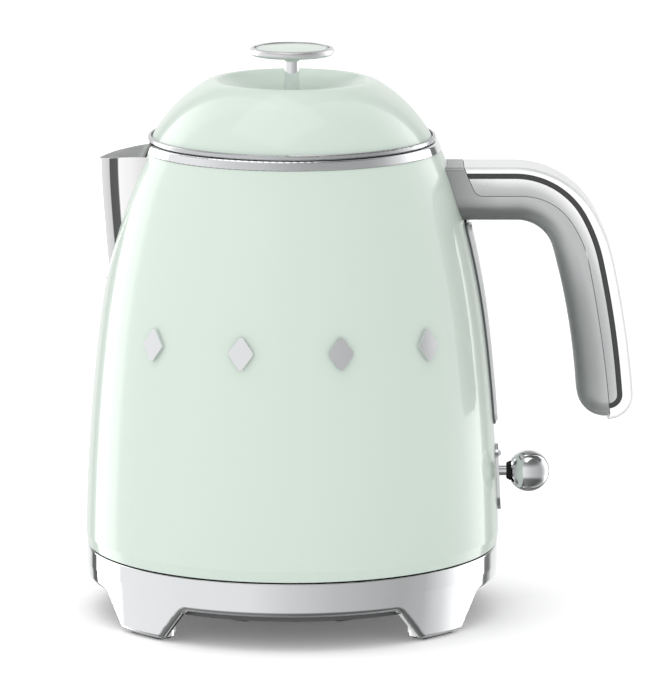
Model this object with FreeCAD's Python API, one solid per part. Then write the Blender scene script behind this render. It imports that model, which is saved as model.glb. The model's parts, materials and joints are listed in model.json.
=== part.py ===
import FreeCAD, Part
import math
import os

# A cordless electric kettle on its power base, in millimetres.
# +Z is up, the kettle's own axis is the Z axis, the spout points along -X, the handle along +X,
# and Z = 0 is the surface that the four feet stand on.

Vector = FreeCAD.Vector
os.makedirs("parts", exist_ok=True)

# ---------------------------------------------------------------- driving dimensions
# Power base
FOOT_PAD_T = 0.8            # rubber under each foot
BASE_R = 78.4               # outside of the chromed ring
BASE_TOP_Z = 26.3           # top edge of the chromed ring
SKIRT_LOW_Z = 13.3          # lower edge of the ring between the feet
SKIRT_BEND_Z = 19.5         # where the ring starts to turn in
BASE_WALL, SHELF_WALL = 3.0, 1.4    # the ring's wall, and the thinner lip round the deck
FOOT_LOW_R = 77.2           # outside of a foot at its sole
FOOT_EDGE_R = 2.2           # rounding all along the ring's lower edge
FOOT_ANGLES = (48, 132, 228, 312)   # from -Y, towards +X
FOOT_TOP_HALF, FOOT_LOW_HALF = 21.8, 11.2
DECK_TOP_Z = 24.6           # plastic deck that the kettle stands on
DECK_T = 2.0
BASE_FLOOR_Z, BASE_FLOOR_T = 10.4, 2.0
TOWER_R, TOWER_TOP_Z = 16.0, 38.0   # round connector that stands in the deck's middle

# Kettle body. An outline is a start, a heading in degrees, and runs of (radius, turn), where a radius
# below 0 bends to the left and None stands for a straight run of that length.
SHELL_T = 0.8
RIM_R, RIM_Z = 78.3, 26.9
BODY_START, BODY_HEADING = (78.9, 31.0), 91.2
BODY_RUNS = ((-801.4, 5.42), (-316.7, 11.3), (-89.7, 7.04))
BODY_TOP_Z = 177.8
FLOOR_Z = 64.0              # top of the water vessel's floor
NECK_R = 53.6               # bore of the mouth
UNDERSIDE_Z = 30.6          # flat underside of the plastic bottom cover

# Spout
SPOUT_FRONT = ((-70.2, 124.0), (-71.6, 138.0), (-72.8, 153.0), (-73.6, 166.0), (-73.6, 182.0))
SPOUT_WALL = 1.1            # wall of the beak, measured along X
SPOUT_HALF = 23.0
SPOUT_RIM = ((-76.0, 173.3), (-70.0, 174.9), (-64.0, 176.0), (-57.0, 176.8), (-48.0, 177.1))
RING_GAP_DEG = 16.9          # half of the neck ring's opening for the beak

# Handle: four lines in the XZ plane, each from the body outwards and down to the tip. The outer line
# bounds the chromed strip, the seam parts it from the dark inlay, and the parting splits the two halves.
HANDLE_ROOT_X = 40.0
OUTER_START = (66.0, 172.1)
OUTER_RUNS = ((None, 18.2), (35.3, 60.9), (68.1, 16.6), (366.0, 7.7), (None, 1.3), (9.6, 94.8))
SEAM_START = (62.0, 170.0)
SEAM_RUNS = ((None, 22.2), (31.0, 60.9), (63.8, 16.6), (361.7, 7.7), (None, 3.4), (5.3, 94.8))
INNER_START = (HANDLE_ROOT_X, 151.2)
INNER_RUNS = ((None, 45.1), (14.2, 74.3), (270.0, 11.7), (None, 0.8), (-11.0, 86.0))
PARTING_START, PARTING_HEADING = (64.6, 173.1), -67.0
PARTING_RUNS = ((None, 10.2), (-4.0, 67.0), (None, 14.8), (22.3, 55.2), (44.4, 23.5), (546.0, 6.1))
HANDLE_HALF_Y = 12.0
HANDLE_SCREW_R, HANDLE_SCREW_HEAD_R = 1.3, 2.4
GRIP_EDGE_R = 7.5
TRIM_HALF_Y, TRIM_EDGE_R = 11.7, 1.8
INLAY_HALF_Y, INLAY_T = 11.2, 2.05
LINE_GAP = 0.1              # clearance between two of the handle's shells

# Level window under the handle
WINDOW_LOW_Z, WINDOW_HIGH_Z = 73.0, 149.8
WINDOW_HALF_Y = 7.0
WINDOW_SHIFT = Vector(1.4, 0, 4.0)   # the lens stands this far out from the wall
WINDOW_LIP = 2.6

# Plain studs across the front
STUD_ANGLES = (-44.0, -14.5, 14.5, 43.5)    # from -Y, towards +X
STUD_Z, STUD_HALF_Y, STUD_HALF_Z, STUD_T = 112.0, 5.0, 6.8, 1.4

# Switch lever
LEVER_Z = 53.3
PIVOT_X = 58.0
PIN_R = 1.5
STEM_R = 1.95
BALL_X, BALL_R = 90.3, 8.05
PLATE_LOW_Z, PLATE_HIGH_Z = 38.3, 64.1
PLUNGER_X, PLUNGER_R = 51.0, 1.6    # push rod that the rocker's tail lifts

# Lid
LID_START, LID_HEADING = (53.0, 182.7), 118.9
LID_RUNS = ((-54.0, 30.5), (-10.0, 23.1))
DIMPLE_R, DIMPLE_RIM_Z, DIMPLE_DEPTH = 28.2, 204.1, 9.0
LID_T = 0.8
BEAD_R, BEAD_LOW_Z, BEAD_TOP_Z = 54.5, 181.4, 183.4
PAN_R, PAN_LOW_Z = 50.7, 174.6
KNOB_R, KNOB_LOW_Z = 16.1, 213.6
STEM_HOLE_R = 2.05

AXIS = Vector(0, 0, 1)
BIG = 400.0


# ---------------------------------------------------------------- shape helpers
def xz(a, b):
    return Vector(a, 0, b)


def xy(a, b):
    return Vector(a, b, 0)


def rounded_wire(points, radii=None, plane=xz):
    """A closed outline with a tangent arc at each corner that has a radius."""
    count = len(points)
    radii = radii or [0] * count
    corners = []
    for i, (p, radius) in enumerate(zip(points, radii)):
        here = plane(*p)
        before, after = plane(*points[i - 1]), plane(*points[(i + 1) % count])
        if radius <= 0:
            corners.append((here, None, here))
            continue
        to_before, to_after = (before - here).normalize(), (after - here).normalize()
        half = to_before.getAngle(to_after) / 2
        reach = radius / math.tan(half)
        middle = (to_before + to_after).normalize()
        on_arc = here + middle * (radius / math.sin(half) - radius)
        corners.append((here + to_before * reach, on_arc, here + to_after * reach))
    edges = []
    for i, (start, on_arc, end) in enumerate(corners):
        if on_arc is not None:
            edges.append(Part.Arc(start, on_arc, end).toShape())
        following = corners[(i + 1) % count][0]
        if (following - end).Length > 1e-6:
            edges.append(Part.LineSegment(end, following).toShape())
    return Part.Wire(edges)


def revolved(points, radii=None):
    return Part.Face(rounded_wire(points, radii)).revolve(Vector(0, 0, 0), AXIS, 360)


def slab(points, half_y, radii=None):
    """An outline in X and Z, as thick as half_y to each side of the middle plane."""
    face = Part.Face(rounded_wire(points, radii))
    face.translate(Vector(0, -half_y, 0))
    return face.extrude(Vector(0, 2 * half_y, 0))


def plate(points, low, high, radii=None):
    face = Part.Face(rounded_wire(points, radii, xy))
    face.translate(Vector(0, 0, low))
    return face.extrude(Vector(0, 0, high - low))


def cylinder(radius, low, high, x=0.0, y=0.0):
    return Part.makeCylinder(radius, high - low, Vector(x, y, low))


def ring(outer, inner, low, high, x=0.0, y=0.0):
    return cylinder(outer, low, high, x, y).cut(cylinder(inner, low - 1, high + 1, x, y))


def box(x0, x1, y0, y1, z0, z1):
    return Part.makeBox(x1 - x0, y1 - y0, z1 - z0, Vector(x0, y0, z0))


def side_prism(points, x0, x1, radii=None):
    """An outline in Y and Z, extruded along X."""
    face = Part.Face(rounded_wire(points, radii, lambda a, b: Vector(0, a, b)))
    face.translate(Vector(x0, 0, 0))
    return face.extrude(Vector(x1 - x0, 0, 0))


def turned(shape, degrees, about=AXIS, centre=Vector(0, 0, 0)):
    copy = shape.copy()
    copy.rotate(centre, about, degrees)
    return copy


def spline(points, plane=xz, start=None, end=None):
    curve = Part.BSplineCurve()
    places = [plane(*p) for p in points]
    if start is not None:
        curve.interpolate(places, InitialTangent=plane(*start), FinalTangent=plane(*end))
    else:
        curve.interpolate(places)
    return curve


def solid_of(shape):
    """The shape's solids, tidied: a single solid where there is one."""
    clean = shape.removeSplitter()
    return clean.Solids[0] if len(clean.Solids) == 1 else Part.makeCompound(clean.Solids)


def filleted(shape, radius, wanted):
    """Rounds each edge whose middle point passes the test."""
    chosen = []
    for edge in shape.Edges:
        middle = edge.valueAt((edge.FirstParameter + edge.LastParameter) / 2)
        if wanted(middle, edge):
            chosen.append(edge)
    return shape.makeFillet(radius, chosen)


def screw(x, y, z, length, shank=1.5, head=2.8, head_t=1.8):
    """A pan-head screw whose shank points up from the underside of its head at z."""
    body = cylinder(shank, z, z + length, x, y).fuse(cylinder(head, z - head_t, z, x, y))
    slot = box(x - head * 0.7, x + head * 0.7, y - 0.35, y + 0.35, z - head_t - 1, z - head_t + 0.9)
    cross = box(x - 0.35, x + 0.35, y - head * 0.7, y + head * 0.7, z - head_t - 1, z - head_t + 0.9)
    return solid_of(body.cut(slot).cut(cross))


def around(count, radius, start=0.0):
    """Places spaced evenly on a circle, as (x, y)."""
    step = 360.0 / count
    turns = [math.radians(start + i * step) for i in range(count)]
    return [(radius * math.cos(a), radius * math.sin(a)) for a in turns]


def save(name, *shapes):
    solids = [s for shape in shapes for s in shape.Solids]
    whole = solids[0] if len(solids) == 1 else Part.makeCompound(solids)
    bad = [s for s in solids if not s.isValid() or s.Volume <= 0]
    whole.exportStep("parts/" + name + ".step")
    print(f"{name:26s} solids {len(solids):2d}  volume {whole.Volume / 1000:8.2f} cm3" + ("  BAD" if bad else ""))


def track(start, heading, runs, right=0.0):
    """Tangent lines and arcs in the XZ plane, moved sideways to the right. Returns (edges, start, end)."""
    def side(angle):
        return Vector(math.sin(angle), 0, -math.cos(angle))

    angle = math.radians(heading)
    place = xz(*start) + side(angle) * right
    first, edges = place, []
    for radius, amount in runs:
        if radius is None:
            after = place + Vector(math.cos(angle), 0, math.sin(angle)) * amount
            edges.append(Part.LineSegment(place, after).toShape())
        else:
            reach = radius - right
            centre = place + side(angle) * reach
            turn = math.copysign(math.radians(amount), radius)
            middle = centre - side(angle - turn / 2) * reach
            after = centre - side(angle - turn) * reach
            edges.append(Part.Arc(place, middle, after).toShape())
            angle -= turn
        place = after
    return edges, first, place


def backwards(line):
    edges, first, last = line
    return edges, last, first


def point(x, z):
    """A corner of a closed outline."""
    return [], xz(x, z), xz(x, z)


def closed_face(*pieces):
    """A face between tracks and corners taken in order, with straight lines where they don't meet."""
    edges = []
    for i, (own, first, last) in enumerate(pieces):
        edges += own
        following = pieces[(i + 1) % len(pieces)][1]
        if (following - last).Length > 1e-5:
            edges.append(Part.LineSegment(last, following).toShape())
    return Part.Face(Part.Wire(Part.sortEdges(edges)[0]))


# ---------------------------------------------------------------- the kettle wall's outline
def body_line(distance, reach=0.0):
    """The wall's outline moved outwards, carried straight on past its top by reach."""
    runs = BODY_RUNS + (((None, reach),) if reach else ())
    return track(BODY_START, BODY_HEADING, runs, distance)


def body_radius(z, distance=0.0):
    """Radius of the kettle's outer wall, or of a copy of it moved outwards, at a height."""
    level = Part.LineSegment(Vector(0, 0, z), Vector(200, 0, z)).toShape()
    return Part.Wire(body_line(distance, 6.0)[0]).distToShape(level)[1][0][0].x


def body_blank(distance, reach=6.0):
    """The kettle's outer form as a solid, moved outwards by a distance, a little taller than the wall."""
    line = body_line(distance, reach)
    foot = line[1] + xz(RIM_R, RIM_Z) - xz(*BODY_START)
    face = closed_face(line, point(0, line[2].z), point(0, foot.z), point(foot.x, foot.z))
    return face.revolve(Vector(0, 0, 0), AXIS, 360)


def body_band(inner, outer, low, high):
    """A skin that follows the kettle's wall, between two distances from it and two heights."""
    skin = body_blank(outer).cut(body_blank(inner, 12.0))
    return skin.common(cylinder(BIG / 2, low, high))


# ---------------------------------------------------------------- power base
def foot_tab():
    """One foot's outline, in the plane square to +X, as a prism that reaches through the ring's wall."""
    wide, high = FOOT_TOP_HALF + 8.0, SKIRT_BEND_Z
    points = [(-wide, high), (-wide, SKIRT_LOW_Z), (-FOOT_TOP_HALF, SKIRT_LOW_Z), (-FOOT_LOW_HALF, FOOT_PAD_T),
              (FOOT_LOW_HALF, FOOT_PAD_T), (FOOT_TOP_HALF, SKIRT_LOW_Z), (wide, SKIRT_LOW_Z), (wide, high)]
    return side_prism(points, 55, 95, [0, 0, 4.5, 3.0, 3.0, 4.5, 0, 0])


def on_foot_outline(p, edge):
    """True on the outer edge that runs along the ring's lower rim and round each foot."""
    share = (p.z - FOOT_PAD_T) / (SKIRT_BEND_Z - FOOT_PAD_T)
    outside = FOOT_LOW_R + (BASE_R - FOOT_LOW_R) * share
    return p.z < SKIRT_LOW_Z + 0.1 and abs(math.hypot(p.x, p.y) - outside) < 0.1


def make_base_shell():
    full = revolved(
        [(BASE_R, BASE_TOP_Z), (BASE_R, SKIRT_BEND_Z), (FOOT_LOW_R, FOOT_PAD_T),
         (FOOT_LOW_R - BASE_WALL, FOOT_PAD_T), (BASE_R - BASE_WALL, SKIRT_BEND_Z),
         (BASE_R - BASE_WALL, DECK_TOP_Z - DECK_T), (BASE_R - SHELF_WALL, DECK_TOP_Z - DECK_T),
         (BASE_R - SHELF_WALL, BASE_TOP_Z)], [0.5, 8.0, 0, 0, 8.0, 0, 0, 0.3])
    shell = full.common(cylinder(BIG / 2, SKIRT_LOW_Z, BASE_TOP_Z + 1))
    for angle in FOOT_ANGLES:
        shell = shell.fuse(full.common(turned(foot_tab(), angle - 90)))
    shell = filleted(shell.removeSplitter(), FOOT_EDGE_R, on_foot_outline)
    for angle in FOOT_ANGLES:
        sole = plate([(66.5, -9.6), (74.4, -9.6), (74.4, 9.6), (66.5, 9.6)], FOOT_PAD_T, FOOT_PAD_T + 2.2,
                     [3, 0, 0, 3])
        leg = box(66.8, 69.0, -9.0, 9.0, FOOT_PAD_T + 1, BASE_FLOOR_Z - 0.1)
        shell = shell.fuse(turned(sole.fuse(leg), angle - 90))
    return solid_of(shell)


def make_foot_pads():
    pad = plate([(67.2, -8.6), (74.2, -8.6), (74.2, 8.6), (67.2, 8.6)], 0, FOOT_PAD_T, [2.6, 1.2, 1.2, 2.6])
    return [turned(pad, angle - 90) for angle in FOOT_ANGLES]


DECK_R = BASE_R - SHELF_WALL - 0.2
BASE_BOSSES = around(4, 58.0, 45)
CORD_BORE_R = 3.1
CORD_Z = 17.8
NOTCH_HALF, NOTCH_TOP_Z = 4.5, 22.2     # notch in the ring that the lead's bush fills


def make_deck():
    """The plastic deck: a dished disc with a raised guide round the connector and four screw bosses."""
    deck = revolved(
        [(DECK_R, DECK_TOP_Z), (TOWER_R + 9.0, DECK_TOP_Z), (TOWER_R + 7.0, DECK_TOP_Z - 1.6),
         (TOWER_R + 0.3, DECK_TOP_Z - 1.6), (TOWER_R + 0.3, DECK_TOP_Z - 3.6), (TOWER_R + 8.0, DECK_TOP_Z - 3.6),
         (TOWER_R + 10.0, DECK_TOP_Z - DECK_T), (DECK_R, DECK_TOP_Z - DECK_T)],
        [0.4, 1.2, 0.6, 0, 0, 0.6, 0.6, 0])
    for x, y in BASE_BOSSES:
        deck = deck.fuse(ring(3.6, 1.6, BASE_FLOOR_Z + BASE_FLOOR_T, DECK_TOP_Z - DECK_T + 0.3, x, y))
    return solid_of(deck)


def make_base_floor():
    """The cover under the base: a tray inside the ring, open under the cord clamp, with its screw holes."""
    low, high = BASE_FLOOR_Z, BASE_FLOOR_Z + BASE_FLOOR_T
    tray = revolved(
        [(0, low), (71.8, low), (71.8, high + 3.0), (70.6, high + 3.0), (70.6, high), (0, high)],
        [0, 0.8, 0.3, 0.3, 0.4, 0])
    for x, y in BASE_BOSSES:
        tray = tray.cut(cylinder(1.7, low - 1, high + 1, x, y)).cut(cylinder(3.2, low - 1, low + 0.9, x, y))
    tray = tray.cut(box(-5.2, 5.2, 65, 80, high, 30))
    return solid_of(tray)


def make_cord_spool():
    """The reel under the base that spare lead is wound on: a drum with four lips."""
    drum = ring(34.0, 32.2, 2.6, BASE_FLOOR_Z)
    lips = [turned(ring(41.0, 33.0, 2.6, 4.2).common(box(0, 60, -14, 14, 0, 10)), 45 + 90 * i) for i in range(4)]
    for lip in lips:
        drum = drum.fuse(lip)
    return solid_of(drum)


def make_tower():
    """The male connector: a round tower with a middle hole and one ring slot."""
    top, foot = TOWER_TOP_Z, BASE_FLOOR_Z + BASE_FLOOR_T
    body = revolved([(0, foot), (TOWER_R, foot), (TOWER_R, top), (0, top)], [0, 0, 1.2, 0])
    body = body.cut(cylinder(4.2, foot + 6, top + 1))
    body = body.cut(ring(12.6, 8.4, foot + 8, top + 1))
    return solid_of(body.cut(ring(TOWER_R + 1, TOWER_R - 0.5, top - 9.0, top - 3.0)))


def make_connector_contacts():
    foot = BASE_FLOOR_Z + BASE_FLOOR_T
    pin = cylinder(1.5, foot + 6, TOWER_TOP_Z - 3.5).fuse(
        Part.makeSphere(1.5, Vector(0, 0, TOWER_TOP_Z - 3.5)))
    neutral = ring(9.0, 8.4, foot + 8, TOWER_TOP_Z - 5)
    earth = ring(TOWER_R - 0.05, TOWER_R - 0.5, TOWER_TOP_Z - 9.0, TOWER_TOP_Z - 3.0)
    return solid_of(pin), neutral, earth


def make_cord_inlet():
    """The bush that a supply lead comes in through, in a notch in the ring's wall at the back."""
    half = NOTCH_HALF - 0.02
    bush = box(-half, half, 72.0, 80.4, SKIRT_LOW_Z, NOTCH_TOP_Z - 0.02)
    bush = bush.fuse(box(-half - 1, half + 1, 78.9, 80.4, SKIRT_LOW_Z - 0.4, NOTCH_TOP_Z + 0.6))
    bush = filleted(bush, 0.5, lambda p, e: p.y > 80.39)
    return solid_of(bush.cut(Part.makeCylinder(CORD_BORE_R, 20, Vector(0, 65, CORD_Z), Vector(0, 1, 0))))


def make_cord_clamp():
    """A saddle that grips the lead inside the base, with its two screws."""
    low = BASE_FLOOR_Z + BASE_FLOOR_T
    saddle = box(-10, 10, 52, 60, low, low + 7.4).cut(
        Part.makeCylinder(CORD_BORE_R, 30, Vector(0, 45, CORD_Z), Vector(0, 1, 0)))
    screws = []
    for x in (-7.4, 7.4):
        shank = cylinder(1.2, low + 2.5, low + 7.4, x, 56)
        screws.append(shank.fuse(cylinder(2.2, low + 7.4, low + 8.8, x, 56)))
        saddle = saddle.cut(cylinder(1.25, low + 2.4, low + 9, x, 56))
    return solid_of(saddle), [solid_of(s) for s in screws]


def pipe(points, radius):
    """A round wire through a few points, its corners turned by arcs."""
    places = [Vector(*p) for p in points]
    edges, last = [], places[0]
    for i in range(1, len(places) - 1):
        back = (places[i - 1] - places[i])
        ahead = (places[i + 1] - places[i])
        half = back.getAngle(ahead) / 2
        bend = 0.4 * min(back.Length, ahead.Length) * math.tan(half)
        reach = bend / math.tan(half)
        back.normalize()
        ahead.normalize()
        middle = (back + ahead).normalize()
        start, end = places[i] + back * reach, places[i] + ahead * reach
        on_arc = places[i] + middle * (bend / math.sin(half) - bend)
        edges += [Part.LineSegment(last, start).toShape(), Part.Arc(start, on_arc, end).toShape()]
        last = end
    edges.append(Part.LineSegment(last, places[-1]).toShape())
    path = Part.Wire(edges)
    section = Part.Wire(Part.Circle(places[0], places[1] - places[0], radius).toShape())
    return path.makePipeShell([section], True, True)


def make_base_leads():
    """Three short leads from the clamp to the connector's terminals."""
    low = BASE_FLOOR_Z + BASE_FLOOR_T
    leads = []
    for x in (-4.5, 0.0, 4.5):
        side = 2.4 * x
        leads.append(pipe([(x * 0.55, 51.6, CORD_Z), (x * 1.2, 44, low + 4.5), (side, 34, low + 3.2),
                           (side * 0.8, TOWER_R + 1.0, low + 3.4)], 1.1))
    return leads


def make_base():
    shell = make_base_shell()
    inlet = make_cord_inlet()
    notch = box(-NOTCH_HALF, NOTCH_HALF, 60, 90, 0, NOTCH_TOP_Z)
    save("base_shell", solid_of(shell.cut(notch)))
    save("foot_pads", *make_foot_pads())
    save("base_floor", make_base_floor())
    save("base_deck", make_deck())
    save("cord_spool", make_cord_spool())
    tower = make_tower()
    pin, neutral, earth = make_connector_contacts()
    save("connector_tower", tower)
    save("connector_line_pin", pin)
    save("connector_neutral_ring", neutral)
    save("connector_earth_band", earth)
    save("cord_inlet_bush", inlet)
    saddle, screws = make_cord_clamp()
    save("cord_clamp", saddle)
    save("base_leads", *make_base_leads())
    covers = [screw(x, y, BASE_FLOOR_Z + 0.9, 8.0, 1.5, 2.9, 0.8) for x, y in BASE_BOSSES]
    save("base_screws", *(covers + screws))


# ---------------------------------------------------------------- shutter that turns on the tower
def make_shutter():
    """The loose ring that covers the tower's foot. The kettle's socket presses on it and turns it."""
    low = DECK_TOP_Z - 1.3
    sleeve = revolved([(TOWER_R + 0.5, low), (TOWER_R + 6.2, low), (TOWER_R + 6.2, low + 1.2),
                       (TOWER_R + 2.2, low + 2.8), (TOWER_R + 0.5, low + 2.8)], [0, 0.3, 0.5, 0.5, 0.3])
    return sleeve


# ---------------------------------------------------------------- kettle body
def make_spout_form():
    """The beak's form as a solid: one rounded V across it, carried up its front line."""
    steps = 8
    wires = []
    for front, z in SPOUT_FRONT:
        points = []
        for i in range(-steps, steps + 1):
            y = SPOUT_HALF * i / steps
            rise = 0.42 * (math.hypot(y, 2.0) - 2.0) + 0.039 * y * y
            points.append((front + rise, y))
        curve = spline(points, xy)
        ends = [xy(*points[-1]), xy(*points[0])]
        wire = Part.Wire([curve.toShape(), Part.LineSegment(*ends).toShape()])
        wire.translate(Vector(0, 0, z))
        wires.append(wire)
    return Part.makeLoft(wires, True, False)


def above_rim():
    """Everything above the beak's pouring rim."""
    curve = spline(SPOUT_RIM)
    left, right = curve.value(curve.FirstParameter), curve.value(curve.LastParameter)
    edges = [curve.toShape(), Part.LineSegment(right, Vector(right.x, 0, 200)).toShape(),
             Part.LineSegment(Vector(right.x, 0, 200), Vector(left.x, 0, 200)).toShape(),
             Part.LineSegment(Vector(left.x, 0, 200), left).toShape()]
    face = Part.Face(Part.Wire(edges))
    face.translate(Vector(0, -50, 0))
    return face.extrude(Vector(0, 100, 0))


def make_spout():
    outside = make_spout_form()
    inside = outside.copy()
    inside.translate(Vector(SPOUT_WALL, 0, 0))
    shell = outside.cut(inside).cut(body_blank(0.0, 12.0)).cut(above_rim())
    return max(shell.Solids, key=lambda s: s.Volume)


def spout_opening():
    """The pouring hole in the wall, open at the top, as a prism along -X."""
    points = [(-15.6, 182), (-15.6, 177), (-12.6, 169), (-4, 138), (4, 138), (12.6, 169), (15.6, 177), (15.6, 182)]
    return side_prism(points, -90, -40, [0, 0, 0, 2, 2, 0, 0, 0])


def window_prism(grow, x0=40, x1=95):
    half = WINDOW_HALF_Y + grow
    low, high = WINDOW_LOW_Z - grow, WINDOW_HIGH_Z + grow
    corner = min(half - 0.05, 4.0 + grow)
    return side_prism([(-half, low), (half, low), (half, high), (-half, high)], x0, x1, [corner] * 4)


LEVER_SLOT = ((-2.9, 44.4), (2.9, 44.4), (2.9, 56.2), (-2.9, 56.2))


def plate_prism(grow=0.0):
    half = 7.0 + grow
    low, high = PLATE_LOW_Z - grow, PLATE_HIGH_Z + grow
    return side_prism([(-half, low), (half, low), (half, high), (-half, high)], 60, 95, [half - 0.05] * 4)


HANDLE_SCREWS = ((155.6, 79.0), (166.0, 65.8))     # height, and how far out each reaches


def make_body_shell():
    shell = body_band(-SHELL_T, 0.0, RIM_Z, BODY_TOP_Z)
    shell = shell.cut(spout_opening())
    shell = shell.cut(window_prism(0.9))
    shell = shell.cut(side_prism(LEVER_SLOT, 60, 90, [2.8] * 4))
    shell = shell.cut(Part.makeCylinder(1.3, 30, Vector(60, 0, LAMP_Z), Vector(1, 0, 0)))
    for z, reach in HANDLE_SCREWS:
        shell = shell.cut(Part.makeCylinder(HANDLE_SCREW_R + 0.2, 30, Vector(50, 0, z), Vector(1, 0, 0)))
    return solid_of(shell)


def make_neck_ring():
    foot, top = BODY_TOP_Z + 0.03, BEAD_LOW_Z - 0.2
    section = [(56.8, foot), (55.5, top), (NECK_R, top), (NECK_R, foot - 5.6),
               (NECK_R + 0.9, foot - 5.6), (NECK_R + 0.9, foot)]
    face = Part.Face(rounded_wire(section, [0.3, 0.7, 0.4, 0, 0, 0]))
    part_ring = face.revolve(Vector(0, 0, 0), AXIS, 360 - 2 * RING_GAP_DEG)
    return turned(part_ring, 180 + RING_GAP_DEG)


def make_vessel_floor():
    inner = body_radius(FLOOR_Z, -SHELL_T)
    lip = body_radius(FLOOR_Z + 4.0, -SHELL_T)
    return revolved([(0, FLOOR_Z - 0.8), (inner - 1.6, FLOOR_Z - 0.8), (inner - 0.1, FLOOR_Z + 0.6),
                     (lip - 0.05, FLOOR_Z + 4.0), (lip - 0.85, FLOOR_Z + 4.0), (inner - 0.95, FLOOR_Z + 1.6),
                     (inner - 2.6, FLOOR_Z), (0, FLOOR_Z)], [0, 0.8, 0.6, 0, 0, 0.6, 0.8, 0])


STEAM_XY = (44.0, 27.0)
STEAM_R = 4.0
DIFFUSER_R, DIFFUSER_T = 46.0, 3.0
CONTROL_TOP_Z, CONTROL_LOW_Z = 56.4, 43.0


def make_heater():
    """The sheathed ring under the diffuser, open at the back, with its two cold tails."""
    top = FLOOR_Z - 0.8 - DIFFUSER_T
    tube = Part.Circle(Vector(38.0, 0, top - 3.3), Vector(0, 1, 0), 3.25).toShape()
    sweep = Part.Face(Part.Wire(tube)).revolve(Vector(0, 0, 0), AXIS, 310)
    tails = [cylinder(1.2, top - 14, top - 3.3, *[38.0 * f for f in (math.cos(a), math.sin(a))])
             for a in (math.radians(3), math.radians(307))]
    for tail in tails:
        sweep = sweep.fuse(tail)
    return turned(solid_of(sweep), 105)


def make_control():
    """The thermostat's moulded body, above the socket, with its three feet."""
    body = revolved([(0, CONTROL_LOW_Z), (27, CONTROL_LOW_Z), (27, CONTROL_TOP_Z - 3), (25, CONTROL_TOP_Z),
                     (0, CONTROL_TOP_Z)], [0, 1, 1, 1, 0])
    nose = box(20, 40, -9, 9, CONTROL_LOW_Z + 1, CONTROL_TOP_Z - 4)
    body = body.fuse(nose)
    for x, y in CONTROL_FEET:
        body = body.fuse(cylinder(4.0, CONTROL_LOW_Z + 4, CONTROL_TOP_Z, x, y))
        body = body.cut(cylinder(1.7, CONTROL_LOW_Z - 1, CONTROL_TOP_Z + 1, x, y))
        body = body.cut(cylinder(2.9, CONTROL_LOW_Z - 1, CONTROL_LOW_Z + 4, x, y))
    for y in (-13.0, 13.0):
        body = body.cut(cylinder(9.3, CONTROL_TOP_Z - 0.8, CONTROL_TOP_Z + 2, -4, y))
    return solid_of(body)


CONTROL_FEET = around(3, 24.5, 180)
SOCKET_R = TOWER_R + 1.4


def make_socket():
    """The female connector: a cup that the base's tower stands in."""
    low = DECK_TOP_Z + 2.0
    cup = revolved([(0, CONTROL_LOW_Z), (SOCKET_R + 4.0, CONTROL_LOW_Z), (SOCKET_R + 4.0, low + 1.6),
                    (SOCKET_R + 2.2, low), (SOCKET_R, low), (SOCKET_R, TOWER_TOP_Z + 1.6),
                    (0, TOWER_TOP_Z + 1.6)], [0, 0.6, 0.6, 0.6, 0.4, 1.0, 0])
    return cup


def make_socket_contacts():
    top = TOWER_TOP_Z + 1.6
    sleeve = ring(2.8, 1.9, 26.0, top)
    blade = box(9.6, 10.4, -2.0, 2.0, 26.0, top)
    clips = [turned(box(TOWER_R + 0.4, TOWER_R + 1.0, -2.5, 2.5, TOWER_TOP_Z - 8, top - 1.2), 60 + 120 * i)
             for i in range(3)]
    return [sleeve, turned(blade, 180)] + clips


BOTTOM_BOSSES = around(3, 52.0, 60)


def make_bottom_cover():
    """The kettle's plastic underside, with the ring that it stands on and a collar round the socket."""
    inner = 77.2
    cover = revolved(
        [(inner, 28.6), (inner, 34.0), (inner - 2.0, 34.0), (inner - 2.0, UNDERSIDE_Z + 1.8),
         (SOCKET_R + 4.5, UNDERSIDE_Z + 1.8), (SOCKET_R + 4.5, UNDERSIDE_Z - 2.6), (SOCKET_R + 6.5, UNDERSIDE_Z - 2.6),
         (SOCKET_R + 8.5, UNDERSIDE_Z), (60.0, UNDERSIDE_Z), (61.5, DECK_TOP_Z + 0.3), (66.5, DECK_TOP_Z + 0.3),
         (68.0, UNDERSIDE_Z - 2.0), (inner - 1.0, UNDERSIDE_Z - 2.0)],
        [0.5, 0.3, 0.3, 0.6, 0, 0, 0.5, 0.8, 1.0, 0.8, 0.8, 1.0, 0])
    for x, y in BOTTOM_BOSSES:
        cover = cover.cut(cylinder(1.8, 20, 40, x, y)).cut(cylinder(3.4, 20, UNDERSIDE_Z + 0.8, x, y))
    return solid_of(cover)


def make_bottom_posts():
    """Three welded studs under the vessel that the bottom cover screws into."""
    return [ring(3.2, 1.55, UNDERSIDE_Z + 1.8, FLOOR_Z - 0.8, x, y) for x, y in BOTTOM_BOSSES]


def make_filter():
    """The strainer behind the spout: a plastic frame and its fine metal mesh."""
    outline = [(-14.6, 171.5), (-6.0, 135.5), (6.0, 135.5), (14.6, 171.5)]
    hole = [(-12.0, 169.3), (-4.4, 138.0), (4.4, 138.0), (12.0, 169.3)]
    band = body_band(-SHELL_T - 2.6, -SHELL_T - 0.5, 130, 175)
    frame = band.common(side_prism(outline, -90, -30, [2, 2, 2, 2]))
    opening = side_prism(hole, -90, -30, [1.5] * 4)
    frame = frame.cut(opening)
    thin = body_band(-SHELL_T - 1.77, -SHELL_T - 1.5, 130, 175).common(side_prism(hole, -90, -30, [1.45] * 4))
    for z in (148.6, 159.4):
        bar = body_band(-SHELL_T - 1.5, -SHELL_T - 0.5, z - 0.6, z + 0.6).common(opening)
        frame = frame.fuse(bar)
    tab = body_band(-SHELL_T - 3.6, -SHELL_T - 2.6, 165, 171.5).common(side_prism(
        [(-5, 165), (5, 165), (5, 171.5), (-5, 171.5)], -90, -30, [1] * 4))
    return solid_of(frame.fuse(tab)), solid_of(thin)


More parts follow.
